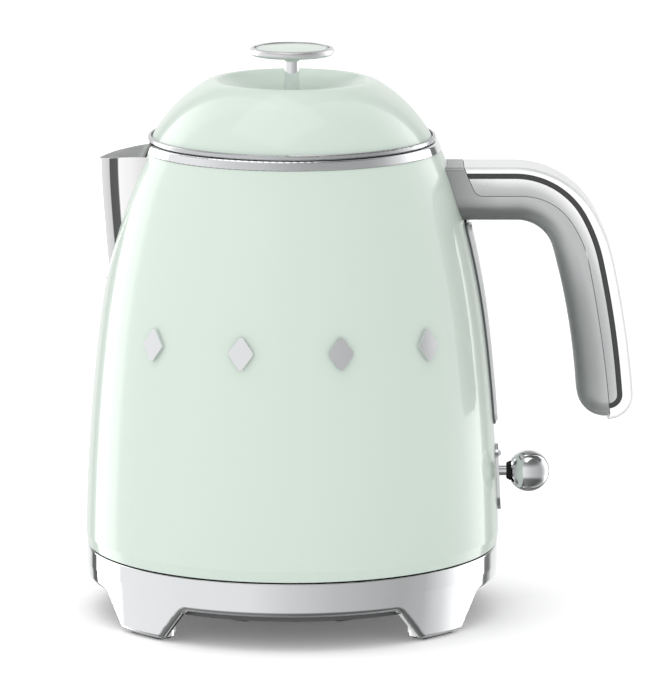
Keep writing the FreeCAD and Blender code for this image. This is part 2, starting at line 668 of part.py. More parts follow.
def make_window():
    back = body_blank(-SHELL_T - 2.2, 12.0)
    lens = Part.Shape()
    for share, inset in ((0.7, 0.0), (1.0, 0.7)):
        front = body_blank(0.0)
        front.translate(WINDOW_SHIFT * share)
        step = front.cut(back).common(window_prism(-inset))
        lens = step if lens.isNull() else lens.fuse(step)
    seal = body_band(-SHELL_T - 1.0, 0.7, 60, 165).common(window_prism(0.85)).cut(window_prism(0.02))
    flange = body_band(-SHELL_T - 1.0, -SHELL_T - 0.02, 60, 165).common(window_prism(WINDOW_LIP)).cut(window_prism(0.86))
    frame = body_band(-SHELL_T - 2.2, -SHELL_T - 1.02, 60, 165).common(window_prism(WINDOW_LIP)).cut(window_prism(0.02))
    return solid_of(lens), solid_of(seal.fuse(flange)), solid_of(frame)


LAMP_Z = 60.2


def make_escutcheon():
    """The long chromed plate round the lever's slot, with a seat for the lamp's lens."""
    blank = body_band(0.02, 1.1, 30, 70).common(plate_prism())
    blank = blank.cut(side_prism(LEVER_SLOT, 60, 95, [2.8] * 4))
    blank = blank.cut(Part.makeCylinder(1.3, 30, Vector(60, 0, LAMP_Z), Vector(1, 0, 0)))
    return solid_of(blank)


def make_lamp():
    x = body_radius(LAMP_Z) + 0.9
    lens = Part.makeCylinder(1.25, 8.0, Vector(x - 8.0, 0, LAMP_Z), Vector(1, 0, 0))
    dome = Part.makeSphere(1.25, Vector(x, 0, LAMP_Z))
    return solid_of(lens.fuse(dome))


# ---------------------------------------------------------------- handle
def extrude_side(face, half_y):
    copy = face.copy()
    copy.translate(Vector(0, -half_y, 0))
    return copy.extrude(Vector(0, 2 * half_y, 0))


def outer_line(right=0.0):
    return track(OUTER_START, 0.0, OUTER_RUNS, right)


def seam_line(right=0.0):
    return track(SEAM_START, 0.0, SEAM_RUNS, right)


def parting_line(right=0.0):
    return track(PARTING_START, PARTING_HEADING, PARTING_RUNS, right)


def below_top():
    """Everything under the level of the handle's flat top."""
    return box(0, 200, -50, 50, 0, OUTER_START[1])


def beyond(line):
    """Everything to the left of one of the handle's lines, as a wide slab."""
    corners = [point(line[2].x, 60), point(150, 60), point(150, 190), point(line[1].x - 4, 190),
               point(line[1].x - 4, line[1].z)]
    return extrude_side(closed_face(line, *corners), 30)


def on_track(line, half_y):
    """A test for the edges that follow a track on either flank."""
    run = Part.Wire(line[0])

    def test(p, edge):
        return abs(abs(p.y) - half_y) < 1e-3 and Part.Vertex(p.x, 0, p.z).distToShape(run)[0] < 0.02
    return test


def make_handle_shells():
    """The outer half of the handle, from outside in: chromed strip, dark inlay and cover."""
    outline = closed_face(outer_line(), backwards(parting_line(-LINE_GAP)))
    strip_zone = beyond(seam_line())
    inlay_zone = beyond(seam_line(0.03))
    cover_zone = beyond(seam_line(INLAY_T))
    strip = extrude_side(outline, TRIM_HALF_Y).common(strip_zone).common(below_top())
    strip = filleted(solid_of(strip), TRIM_EDGE_R, on_track(outer_line(), TRIM_HALF_Y))
    inlay = extrude_side(outline, INLAY_HALF_Y).common(cover_zone).cut(inlay_zone)
    cover = extrude_side(outline, HANDLE_HALF_Y).cut(beyond(seam_line(INLAY_T + 0.03)))
    return solid_of(strip), solid_of(inlay), solid_of(cover)


def make_grip():
    """The inner half, with the root that stands against the kettle's wall."""
    inner = track(INNER_START, 0.0, INNER_RUNS)
    top = OUTER_START[1]
    face = closed_face(point(HANDLE_ROOT_X, top + 1), parting_line(LINE_GAP), backwards(inner))
    grip = extrude_side(face, HANDLE_HALF_Y).common(below_top())
    grip = solid_of(grip).cut(body_blank(0.05, 14.0))
    grip = filleted(solid_of(grip), GRIP_EDGE_R, on_track(inner, HANDLE_HALF_Y))
    return filleted(grip, TRIM_EDGE_R, lambda p, e: p.z > top - 0.01 and abs(abs(p.y) - HANDLE_HALF_Y) < 1e-3)


def make_handle_inside(grip):
    """The metal bar in the grip's pocket, and the two screws from inside the vessel."""
    grip = grip.cut(box(50, 92, -6.2, 6.2, 152.8, 158.4))
    core = box(64.2, 91.5, -6, 6, 153.0, 158.2).cut(body_blank(0.2, 14.0))
    screws = []
    for z, reach in HANDLE_SCREWS:
        hole = Part.makeCylinder(HANDLE_SCREW_R + 0.02, reach - 49.5, Vector(50, 0, z), Vector(1, 0, 0))
        grip, core = grip.cut(hole), core.cut(hole)
        seat = body_radius(z + HANDLE_SCREW_HEAD_R, -SHELL_T) - 0.1
        one = screw(0, 0, 0, reach - seat, HANDLE_SCREW_R, HANDLE_SCREW_HEAD_R, 1.6)
        one = turned(one, 90, Vector(0, 1, 0))
        one.translate(Vector(seat, 0, z))
        screws.append(one)
    return solid_of(grip), solid_of(core), screws


# ---------------------------------------------------------------- lid
def make_lid_dome():
    """The pressed dome: a rounded shoulder, a small rim and a bowl under the knob, one thin sheet."""
    bottom = DIMPLE_RIM_Z - DIMPLE_DEPTH
    outside = track(LID_START, LID_HEADING, LID_RUNS)
    inside = track(LID_START, LID_HEADING, LID_RUNS, -LID_T)
    pieces = []
    for line, drop in ((outside, 0.0), (inside, LID_T)):
        shoulder = line[2]
        lip = xz(DIMPLE_R, DIMPLE_RIM_Z - drop)
        crest = xz(DIMPLE_R + 0.75, DIMPLE_RIM_Z + 0.22 - drop)
        low, half_way = xz(0, bottom - drop), xz(15.2, DIMPLE_RIM_Z - 6.9 - drop)
        edges = [Part.Arc(shoulder, crest, lip).toShape(), Part.Arc(lip, half_way, low).toShape()]
        pieces += [line, (edges, shoulder, low)]
    face = closed_face(pieces[0], pieces[1], backwards(pieces[3]), backwards(pieces[2]))
    dome = face.revolve(Vector(0, 0, 0), AXIS, 360)
    return solid_of(dome.cut(cylinder(STEM_HOLE_R, 170, 220)))


def make_lid():
    save("lid_dome", make_lid_dome())
    step = LID_START[1] - 0.45
    bead = revolved([(BEAD_R, BEAD_TOP_Z), (BEAD_R, BEAD_LOW_Z), (PAN_R + 0.1, BEAD_LOW_Z), (PAN_R + 0.1, step - 0.2),
                     (53.4, step - 0.2), (53.4, BEAD_TOP_Z)], [0.7, 0.5, 0.2, 0, 0, 0.2])
    save("lid_bead", bead)
    pan = revolved([(PAN_R, BEAD_TOP_Z - 1.4), (PAN_R - 0.8, BEAD_TOP_Z - 1.4), (PAN_R - 0.8, PAN_LOW_Z + 0.8),
                    (0, PAN_LOW_Z + 0.8), (0, PAN_LOW_Z), (PAN_R, PAN_LOW_Z)], [0, 0, 0.6, 0, 0, 0.9])
    save("lid_pan", solid_of(pan.cut(cylinder(STEM_HOLE_R, 170, 180))))
    low = PAN_LOW_Z + 1.2
    seal = revolved([(PAN_R + 0.05, low), (53.1, low + 1.0), (53.1, low + 2.0), (PAN_R + 0.05, low + 4.0)],
                    [0, 0.3, 0.3, 0])
    save("lid_seal", seal)
    floor, neck = DIMPLE_RIM_Z - DIMPLE_DEPTH, KNOB_LOW_Z - 2.4
    stem = revolved([(0, PAN_LOW_Z - 2.0), (2.0, PAN_LOW_Z - 2.0), (2.0, floor + 0.02), (3.1, floor + 0.3),
                     (2.7, neck), (0, neck)], [0, 0, 0, 0.3, 0, 0])
    save("knob_stem", stem)
    collar = revolved([(0, neck + 0.02), (2.75, neck + 0.02), (3.1, neck + 2.38), (0, neck + 2.38)])
    save("knob_collar", collar)
    low = KNOB_LOW_Z
    cap = revolved([(0, low), (KNOB_R, low), (KNOB_R, low + 3.0), (14.3, low + 3.0), (14.3, low + 2.0),
                    (0, low + 2.0)], [0, 1.45, 1.45, 0.25, 0, 0])
    save("knob_cap", cap)
    inlay = revolved([(0, low + 2.02), (13.95, low + 2.02), (13.95, low + 2.55), (0, low + 3.3)], [0, 0, 0.15, 0])
    save("knob_inlay", inlay)
    corners = [(x, y) for x, y in around(6, 4.2)]
    nut = plate(corners, PAN_LOW_Z - 3.0, PAN_LOW_Z - 0.1).cut(cylinder(STEM_HOLE_R, 160, 180))
    save("lid_nut", solid_of(nut))


# ---------------------------------------------------------------- switch lever
def make_lever():
    axis = Vector(0, 1, 0)
    pivot = Vector(PIVOT_X, 0, LEVER_Z)
    hub = Part.makeCylinder(4.0, 8.0, pivot - Vector(0, 4, 0), axis)
    arm = box(PIVOT_X, 72.0, -2.4, 2.4, LEVER_Z - 2.6, LEVER_Z + 2.6)
    tail = box(PIVOT_X - 9, PIVOT_X, -2.4, 2.4, LEVER_Z - 1.6, LEVER_Z + 1.6)
    rocker = hub.fuse(arm).fuse(tail)
    rocker = rocker.cut(Part.makeCylinder(PIN_R + 0.06, 20, pivot - Vector(0, 10, 0), axis))
    rocker = rocker.cut(Part.makeCylinder(STEM_R * 0.7, 6, Vector(66.5, 0, LEVER_Z), Vector(1, 0, 0)))
    save("lever_rocker", solid_of(rocker))
    stem = Part.makeCylinder(STEM_R, 83.6 - 72.02, Vector(72.02, 0, LEVER_Z), Vector(1, 0, 0))
    stem = stem.fuse(Part.makeCylinder(STEM_R * 0.7 - 0.02, 5.6, Vector(66.6, 0, LEVER_Z), Vector(1, 0, 0)))
    save("lever_stem", solid_of(stem))
    ball = Part.makeSphere(BALL_R, Vector(BALL_X, 0, LEVER_Z))
    ball = ball.cut(box(70, 83.62, -10, 10, LEVER_Z - 10, LEVER_Z + 10))
    save("lever_knob", solid_of(ball))
    collar = revolved([(STEM_R + 0.02, -83.6), (4.0, -83.6), (3.0, -81.8), (STEM_R + 0.02, -81.8)],
                      [0, 0.3, 0.3, 0])
    collar = turned(collar, -90, Vector(0, 1, 0))
    collar.translate(Vector(0, 0, LEVER_Z))
    save("lever_collar", collar)
    pin = Part.makeCylinder(PIN_R, 17.0, pivot - Vector(0, 8.5, 0), axis)
    save("switch_pivot_pin", pin)
    bracket = box(48, 66, -9.0, 9.0, 44.0, 60.0).cut(box(40, 70, -5.0, 5.0, 46.0, 70.0))
    bracket = bracket.fuse(box(48, 54, -9.0, 9.0, 58.8, 60.6))
    bracket = bracket.cut(Part.makeCylinder(PIN_R + 0.01, 20, pivot - Vector(0, 10, 0), axis))
    bracket = bracket.cut(cylinder(PLUNGER_R + 0.15, 50, 70, PLUNGER_X))
    save("switch_bracket", solid_of(bracket))
    plunger = cylinder(PLUNGER_R, LEVER_Z + 1.95, 60.2, PLUNGER_X)
    plunger = plunger.fuse(cylinder(PLUNGER_R + 0.9, LEVER_Z + 1.95, LEVER_Z + 2.75, PLUNGER_X))
    save("contact_plunger", solid_of(plunger))


# ---------------------------------------------------------------- kettle assembly
def make_badges():
    """Four plain raised studs across the front, each a rounded lozenge that follows the wall."""
    studs = []
    for angle in STUD_ANGLES:
        prism = side_prism([(-STUD_HALF_Y, STUD_Z), (0, STUD_Z + STUD_HALF_Z), (STUD_HALF_Y, STUD_Z), (0, STUD_Z - STUD_HALF_Z)], 60, 95, [1.2] * 4)
        stud = body_band(0.02, STUD_T, STUD_Z - 10, STUD_Z + 10).common(prism)
        studs.append(turned(stud, angle - 90))
    return studs


def make_kettle():
    save("body_shell", make_body_shell())
    save("neck_ring", make_neck_ring())
    save("spout", make_spout())
    floor = make_vessel_floor().cut(cylinder(STEAM_R + 0.02, 50, 75, *STEAM_XY))
    save("vessel_floor", solid_of(floor))
    low = FLOOR_Z - 0.8 - DIFFUSER_T
    save("heat_diffuser", cylinder(DIFFUSER_R, low, FLOOR_Z - 0.82))
    save("heater_element", make_heater())
    save("thermostat_control", make_control())
    discs = [cylinder(9.0, CONTROL_TOP_Z - 0.7, CONTROL_TOP_Z, -4, y) for y in (-13.0, 13.0)]
    discs.append(cylinder(6.6, 51.0, 51.5, *STEAM_XY))
    save("snap_discs", *discs)
    save("control_screws", *[screw(x, y, CONTROL_LOW_Z + 4, 13.0, 1.5, 2.6, 1.6) for x, y in CONTROL_FEET])
    save("control_socket", make_socket())
    save("socket_contacts", *make_socket_contacts())
    tube = ring(STEAM_R, STEAM_R - 0.6, 58.0, 163.0, *STEAM_XY)
    save("steam_tube", tube)
    cup = ring(8.0, 7.0, 48.0, 57.9, *STEAM_XY).fuse(ring(8.0, 3.0, 56.9, 57.9, *STEAM_XY))
    save("steam_cup", solid_of(cup))
    save("bottom_cover", make_bottom_cover())
    save("bottom_posts", *make_bottom_posts())
    save("bottom_cover_screws",
         *[screw(x, y, UNDERSIDE_Z + 0.8, 10.0, 1.5, 2.9, 1.6) for x, y in BOTTOM_BOSSES])
    lens, seal, frame = make_window()
    save("window_lens", lens)
    save("window_seal", seal)
    save("window_frame", frame)
    save("switch_plate", make_escutcheon())
    save("lamp_lens", make_lamp())
    save("front_studs", *make_badges())
    grip, core, screws = make_handle_inside(make_grip())
    strip, inlay, cover = make_handle_shells()
    save("handle_grip", grip)
    save("handle_cover", cover)
    save("handle_inlay", inlay)
    save("handle_trim", strip)
    save("handle_core", core)
    save("handle_screws", *screws)
    frame, mesh = make_filter()
    save("filter_frame", frame)
    save("filter_mesh", mesh)


make_base()
save("connector_shutter", make_shutter())
make_kettle()
make_lever()
make_lid()
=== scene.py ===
import json
import math
import bpy
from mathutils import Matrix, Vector

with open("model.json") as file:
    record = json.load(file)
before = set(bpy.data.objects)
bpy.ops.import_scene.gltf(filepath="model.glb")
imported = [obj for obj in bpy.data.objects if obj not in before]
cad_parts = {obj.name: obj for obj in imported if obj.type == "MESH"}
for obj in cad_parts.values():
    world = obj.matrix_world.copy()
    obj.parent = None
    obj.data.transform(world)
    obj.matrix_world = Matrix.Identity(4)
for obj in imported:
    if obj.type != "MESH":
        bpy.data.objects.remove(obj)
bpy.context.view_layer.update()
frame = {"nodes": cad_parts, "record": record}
nodes = frame["nodes"]

scene = bpy.context.scene

# ---------------------------------------------------------------- driving values, in metres unless said
GREEN = (0.562, 0.648, 0.584)
WHITE = (1, 1, 1, 1)

# The ellipse that the handle's parting line follows round its bend, and the x range of the painted shade at
# its root
BEND_X, BEND_Z = 0.086, 0.0765
BEND_HALF_X, BEND_HALF_Z = 0.0335, 0.0843
ROOT_PAINTED_SHADE_X = (0.058, 0.078)
# Depths from the parting line over which the grip and cover are painted from shade to light
GRIP_PAINTED_SHADE_DEPTHS = (-0.0115, 0.0)
COVER_PAINTED_SHADE_DEPTHS = (0.0, 0.0072)
KNOB_DISC_R = 0.014
BEAK_HALF_Y = 0.023

# Painted reflection across the beak, from its middle to its side, with a painted dark reflected band between
BEAK_PAINTED_REFLECTION = ((0.0, 0.86), (0.12, 0.84), (0.33, 0.66), (0.345, 0.10), (0.46, 0.12),
               (0.475, 1.0), (0.62, 0.95), (0.95, 0.62))

# How bright the room looks in a reflection, by direction in degrees: 0 is the front, 90 the right side
ROOM_PEAK = 3.2
ROOM = ((-180, 1.0), (-163, 1.0), (-156, 0.85), (-152, 0.15), (-145, 0.15), (-142, 3.0), (-117, 2.7),
        (-113, 1.0), (-60, 0.93), (-25, 0.90), (-8, 0.78), (0, 0.72), (25, 0.58), (65, 0.47), (80, 0.53),
        (95, 0.85), (110, 1.4), (135, 3.2), (138, 0.2), (146, 0.2), (152, 0.9), (180, 1.0))
ROOM_LEVELS = [(0.5 + angle / 360, level / ROOM_PEAK) for angle, level in ROOM]
# The same by how steeply the reflection looks, from straight down to straight up
HEIGHT_LEVELS = ((0.0, 0.22), (0.18, 0.26), (0.30, 1.0), (0.70, 1.0), (0.86, 0.34), (1.0, 0.28))
# The light that falls on the kettle, from its left side to its right
SOFT_LEVELS = ((0.0, 1.0), (1.0, 0.60))
SOFT_STRENGTH = 1.40

FLOOR_HALF = 6
FLOOR_GLOW = 0.12
OVERHEAD_SIDE, OVERHEAD_POWER = 1.6, 8
OVERHEAD_PLACE = (-0.3, -0.3, 2.2)

CAMERA_PLACE = (0.0144, -2.300, 0.530)
CAMERA_AIM = (0.0144, 0.0, 0.1036)
CAMERA_LENS_MM, CAMERA_SENSOR_MM = 324.1, 36


# ---------------------------------------------------------------- node helpers
class Graph:
    """A node tree, with short calls for the nodes used here."""

    def __init__(self, tree):
        self.tree = tree
        self.coords = self.add("ShaderNodeTexCoord")

    def add(self, kind, **settings):
        node = self.tree.nodes.new(kind)
        for key, value in settings.items():
            setattr(node, key, value)
        return node

    def link(self, a, b):
        self.tree.links.new(a, b)

    def xyz(self, kind):
        """The three parts of one of the texture coordinates."""
        node = self.add("ShaderNodeSeparateXYZ")
        self.link(self.coords.outputs[kind], node.inputs["Vector"])
        return node.outputs

    def ramp(self, fac, *stops):
        node = self.add("ShaderNodeValToRGB")
        band = node.color_ramp
        while len(band.elements) < len(stops):
            band.elements.new(0.5)
        for element, (place, colour) in zip(band.elements, stops):
            element.position = place
            element.color = (*colour, 1)
        self.link(fac, node.inputs["Fac"])
        return node.outputs["Color"]

    def grey_ramp(self, fac, stops):
        return self.ramp(fac, *[(place, (level, level, level)) for place, level in stops])

    def maths(self, operation, *values):
        node = self.add("ShaderNodeMath", operation=operation)
        for socket, value in zip(node.inputs, values):
            if isinstance(value, (int, float)):
                socket.default_value = value
            else:
                self.link(value, socket)
        return node.outputs["Value"]

    def square(self, value, scale=1):
        scaled = self.maths("MULTIPLY", value, 1 / scale)
        return self.maths("MULTIPLY", scaled, scaled)

    def length(self, a, b):
        return self.maths("SQRT", self.maths("ADD", a, b))

    def choose(self, switch, off, on):
        """The off shader where the switch is 0 and the on shader where it is 1."""
        node = self.add("ShaderNodeMixShader")
        self.link(switch, node.inputs["Fac"])
        self.link(off, node.inputs[1])
        self.link(on, node.inputs[2])
        return node.outputs["Shader"]


class Tree(Graph):
    """A new material's node tree."""

    def __init__(self, name):
        self.mat = bpy.data.materials.new(name)
        self.mat.use_nodes = True
        self.mat.node_tree.nodes.clear()
        super().__init__(self.mat.node_tree)
        self.out = self.add("ShaderNodeOutputMaterial")

    def surface(self, shader):
        self.link(shader, self.out.inputs["Surface"])

    def place(self, scale=(1, 1, 1)):
        """Object coordinates, stretched per axis."""
        mapping = self.add("ShaderNodeMapping")
        mapping.inputs["Scale"].default_value = scale
        self.link(self.coords.outputs["Object"], mapping.inputs["Vector"])
        return mapping.outputs["Vector"]

    def noise(self, scale, detail=4.0, rough=0.55, stretch=(1, 1, 1)):
        node = self.add("ShaderNodeTexNoise")
        node.inputs["Scale"].default_value = scale
        node.inputs["Detail"].default_value = detail
        node.inputs["Roughness"].default_value = rough
        self.link(self.place(stretch), node.inputs["Vector"])
        return node.outputs["Fac"]

    def spread(self, value, low, high, from_low=0.3, from_high=0.7):
        """Maps a value, by default a noise, to a range of numbers."""
        node = self.add("ShaderNodeMapRange")
        node.inputs["From Min"].default_value = from_low
        node.inputs["From Max"].default_value = from_high
        node.inputs["To Min"].default_value = low
        node.inputs["To Max"].default_value = high
        self.link(value, node.inputs["Value"])
        return node.outputs["Result"]

    def bump(self, height, strength, distance, normal=None):
        node = self.add("ShaderNodeBump")
        node.inputs["Strength"].default_value = strength
        node.inputs["Distance"].default_value = distance
        self.link(height, node.inputs["Height"])
        if normal is not None:
            self.link(normal, node.inputs["Normal"])
        return node.outputs["Normal"]

    def principled(self, **values):
        node = self.add("ShaderNodeBsdfPrincipled")
        for key, value in values.items():
            node.inputs[key.replace("_", " ")].default_value = value
        self.surface(node.outputs["BSDF"])
        return node

    def dress(self, shader, colour, rough, normal):
        """Gives the shader its colour, roughness and surface relief."""
        self.link(colour, shader.inputs["Base Color"])
        self.link(rough, shader.inputs["Roughness"])
        self.link(normal, shader.inputs["Normal"])


def near(colour, share):
    """A slightly lighter or darker colour."""
    return tuple(max(0.0, min(1.0, c * share)) for c in colour)


# ---------------------------------------------------------------- materials
def chrome(name, colour=(0.83, 0.84, 0.85), rough=0.045, brushed=0.0):
    t = Tree(name)
    shader = t.principled(Metallic=1.0)
    tint = t.ramp(t.noise(38, 5), (0.25, near(colour, 0.97)), (0.75, colour))
    smear = t.spread(t.noise(16, 6, 0.65), rough * 0.7, rough * 1.6)
    normal = t.bump(t.noise(60, 2), 0.02, 0.0004)
    if brushed:
        hair = t.noise(420, 3, 0.6, (0.05, 1, 1))
        normal = t.bump(hair, brushed, 0.0002, normal)
    t.dress(shader, tint, smear, normal)
    return t.mat


def plastic(name, colour, rough=0.4, grain=900, depth=0.06, coat=0.0, metal=0.0):
    t = Tree(name)
    shader = t.principled(Metallic=metal, Coat_Weight=coat, Coat_Roughness=0.08)
    t.dress(shader,
            t.ramp(t.noise(24, 4), (0.3, near(colour, 0.94)), (0.7, near(colour, 1.04))),
            t.spread(t.noise(70, 5), rough * 0.85, rough * 1.2),
            t.bump(t.noise(grain, 2), depth, 0.0002))
    return t.mat


def lined(t, shader, steel):
    """The outer shader on faces that look away from the kettle's axis, the steel one on those inside."""
    outwards = t.add("ShaderNodeVectorMath", operation="MULTIPLY")
    outwards.inputs[1].default_value = (1, 1, 0)
    t.link(t.coords.outputs["Object"], outwards.inputs[0])
    facing = t.add("ShaderNodeVectorMath", operation="DOT_PRODUCT")
    t.link(t.coords.outputs["Normal"], facing.inputs[0])
    t.link(outwards.outputs["Vector"], facing.inputs[1])
    inward = t.maths("LESS_THAN", facing.outputs["Value"], 0.0)
    t.surface(t.choose(inward, shader.outputs["BSDF"], steel.outputs["BSDF"]))


def bare_steel(t, dark, light, rough, metal):
    """The shader of drawn steel, with its grain running upwards."""
    steel = t.add("ShaderNodeBsdfPrincipled")
    steel.inputs["Metallic"].default_value = metal
    t.dress(steel,
            t.ramp(t.noise(60, 5), (0.3, dark), (0.7, light)),
            t.spread(t.noise(120, 4, 0.5, (1, 1, 0.08)), rough * 0.75, rough * 1.3),
            t.bump(t.noise(300, 3, 0.6, (1, 1, 0.05)), 0.12, 0.0003))
    return steel


def enamel(name, steel_inside):
    t = Tree(name)
    shader = t.principled(Coat_Weight=0.5, Coat_Roughness=0.03, Coat_IOR=1.55, Specular_IOR_Level=0.2)
    t.dress(shader,
            t.ramp(t.noise(7, 2), (0.0, near(GREEN, 0.98)), (1.0, near(GREEN, 1.02))),
            t.spread(t.noise(20, 3), 0.26, 0.34, 0, 1),
            t.bump(t.noise(230, 1), 0.006, 0.0006))
    if steel_inside:
        lined(t, shader, bare_steel(t, (0.50, 0.50, 0.50), (0.62, 0.62, 0.61), 0.3, 1.0))
    return t.mat


def enamel_with_painted_rim_shade(name):
    """The knob's enamel disc, darker at its very edge with painted shade."""
    t = Tree(name)
    shader = t.principled(Coat_Weight=0.4, Coat_Roughness=0.05, Roughness=0.3, Specular_IOR_Level=0.2)
    here = t.xyz("Object")
    radius = t.length(t.square(here["X"]), t.square(here["Y"]))
    share = t.maths("MULTIPLY", radius, 1 / KNOB_DISC_R)
    share = t.maths("ADD", share, t.spread(t.noise(40, 3), -0.003, 0.003))
    # Painted shade: the dark ring at the edge stands for the shade in the gap round the disc
    colour = t.ramp(share, (0.0, near(GREEN, 0.94)), (0.925, near(GREEN, 0.90)),
                    (0.95, near(GREEN, 0.35)), (1.0, near(GREEN, 0.30)))
    t.link(colour, shader.inputs["Base Color"])
    t.link(t.bump(t.noise(230, 1), 0.006, 0.0006), shader.inputs["Normal"])
    return t.mat


def beak(name):
    """Bright steel with a painted dark reflected band down each side, and a paler inside, painted light over
    its shade.
    """
    t = Tree(name)
    shader = t.principled(Metallic=1.0)
    share = t.maths("MULTIPLY", t.maths("ABSOLUTE", t.xyz("Object")["Y"]), 1 / BEAK_HALF_Y)
    t.dress(shader,
            # Painted reflection: the ramp's dark band stands in for a dark reflection in the steel
            t.grey_ramp(share, BEAK_PAINTED_REFLECTION),
            t.spread(t.noise(16, 6, 0.65), 0.03, 0.06),
            t.bump(t.noise(60, 2), 0.01, 0.0004))
    # The inside is painted pale, a painted lift of the shade that falls in it
    lined(t, shader, bare_steel(t, (0.80, 0.80, 0.80), (0.90, 0.90, 0.90), 0.6, 0.0))
    return t.mat


def pane(name):
    t = Tree(name)
    shader = t.principled(Transmission_Weight=0.3, IOR=1.49, Coat_Weight=0.6, Coat_Roughness=0.04)
    t.dress(shader,
            t.ramp(t.noise(30, 4), (0.3, (0.80, 0.81, 0.82)), (0.7, (0.86, 0.87, 0.875))),
            t.spread(t.noise(90, 4), 0.12, 0.2),
            t.bump(t.noise(240, 2), 0.03, 0.0003))
    return t.mat


def handle_depth(t):
    """How far outwards a point lies from the handle's parting line, in metres."""
    here = t.xyz("Object")
    x = t.maths("MAXIMUM", t.maths("SUBTRACT", here["X"], BEND_X), 0.0)
    z = t.maths("SUBTRACT", here["Z"], BEND_Z)
    reach = t.length(t.square(x, BEND_HALF_X), t.square(z, BEND_HALF_Z))
    steep = t.length(t.square(x, BEND_HALF_X ** 2), t.square(z, BEND_HALF_Z ** 2))
    return t.maths("DIVIDE", t.maths("MULTIPLY", t.maths("SUBTRACT", reach, 1.0), reach), steep)


def painted_shade_handle_skin(name, depths, inner, outer, rough, metal):
    """Satin metallic plastic with painted shading from the first depth to the second, and painted shade at
    the handle's root.
    """
    t = Tree(name)
    shader = t.principled(Metallic=metal)
    fac = t.spread(handle_depth(t), 0.0, 1.0, *depths)
    grain = t.maths("ADD", fac, t.spread(t.noise(60, 4), -0.03, 0.03))
    root = t.spread(t.xyz("Object")["X"], 0.45, 1.0, *ROOT_PAINTED_SHADE_X)
    middle = tuple((a + 0.75 * b) / 2 for a, b in zip(inner, outer))
    t.dress(shader,
            # Painted shading: the inner colour where shade falls, the outer where light falls, darkened at
            # the root
            t.ramp(t.maths("MULTIPLY", grain, root), (0.0, inner), (0.5, middle), (1.0, outer)),
            t.spread(t.noise(70, 5), rough * 0.88, rough * 1.14),
            t.bump(t.noise(1100, 2), 0.03, 0.0002))
    return t.mat


def painted_light_trim(name):
    """Flanks with a painted highlight, near white, greyer where the strip turns over its rounded edge as
    painted shade.
    """
    t = Tree(name)
    shader = t.principled(Metallic=0.15, Coat_Weight=0.25, Coat_Roughness=0.06)
    sideways = t.maths("ABSOLUTE", t.xyz("Normal")["Y"])
    side = t.maths("ADD", sideways, t.spread(t.noise(50, 4), -0.02, 0.02))
    # Painted highlight on the flat flanks, painted shade where the face turns over the edge
    t.dress(shader,
            t.ramp(side, (0.30, (0.62, 0.625, 0.63)), (0.72, (0.64, 0.645, 0.65)),
                   (0.90, (0.99, 0.99, 0.99))),
            t.spread(t.noise(80, 4), 0.16, 0.24),
            t.bump(t.noise(1300, 2), 0.02, 0.0002))
    return t.mat


def rubber(name, colour=(0.03, 0.03, 0.032)):
    t = Tree(name)
    shader = t.principled(Specular_IOR_Level=0.3)
    t.dress(shader,
            t.ramp(t.noise(55, 5), (0.3, near(colour, 0.8)), (0.7, near(colour, 1.25))),
            t.spread(t.noise(110, 5), 0.62, 0.82),
            t.bump(t.noise(1400, 2), 0.2, 0.0002))
    return t.mat


def brass(name, colour=(0.80, 0.62, 0.36)):
    t = Tree(name)
    shader = t.principled(Metallic=1.0)
    t.dress(shader,
            t.ramp(t.noise(80, 5), (0.3, near(colour, 0.82)), (0.7, colour)),
            t.spread(t.noise(140, 5), 0.18, 0.34),
            t.bump(t.noise(500, 3), 0.05, 0.0002))
    return t.mat


def mesh_steel(name):
    """Fine wire mesh, drawn as small cells with painted shade for the hole in each."""
    t = Tree(name)
    shader = t.principled(Metallic=1.0, Roughness=0.35)
    weave = t.add("ShaderNodeTexVoronoi")
    weave.inputs["Scale"].default_value = 1500
    t.link(t.place(), weave.inputs["Vector"])
    cell = weave.outputs["Distance"]
    # The dark centre of each cell is painted shade where the hole is
    t.link(t.grey_ramp(cell, ((0.2, 0.05), (0.5, 0.5))), shader.inputs["Base Color"])
    t.link(t.bump(cell, 0.4, 0.0002), shader.inputs["Normal"])
    return t.mat


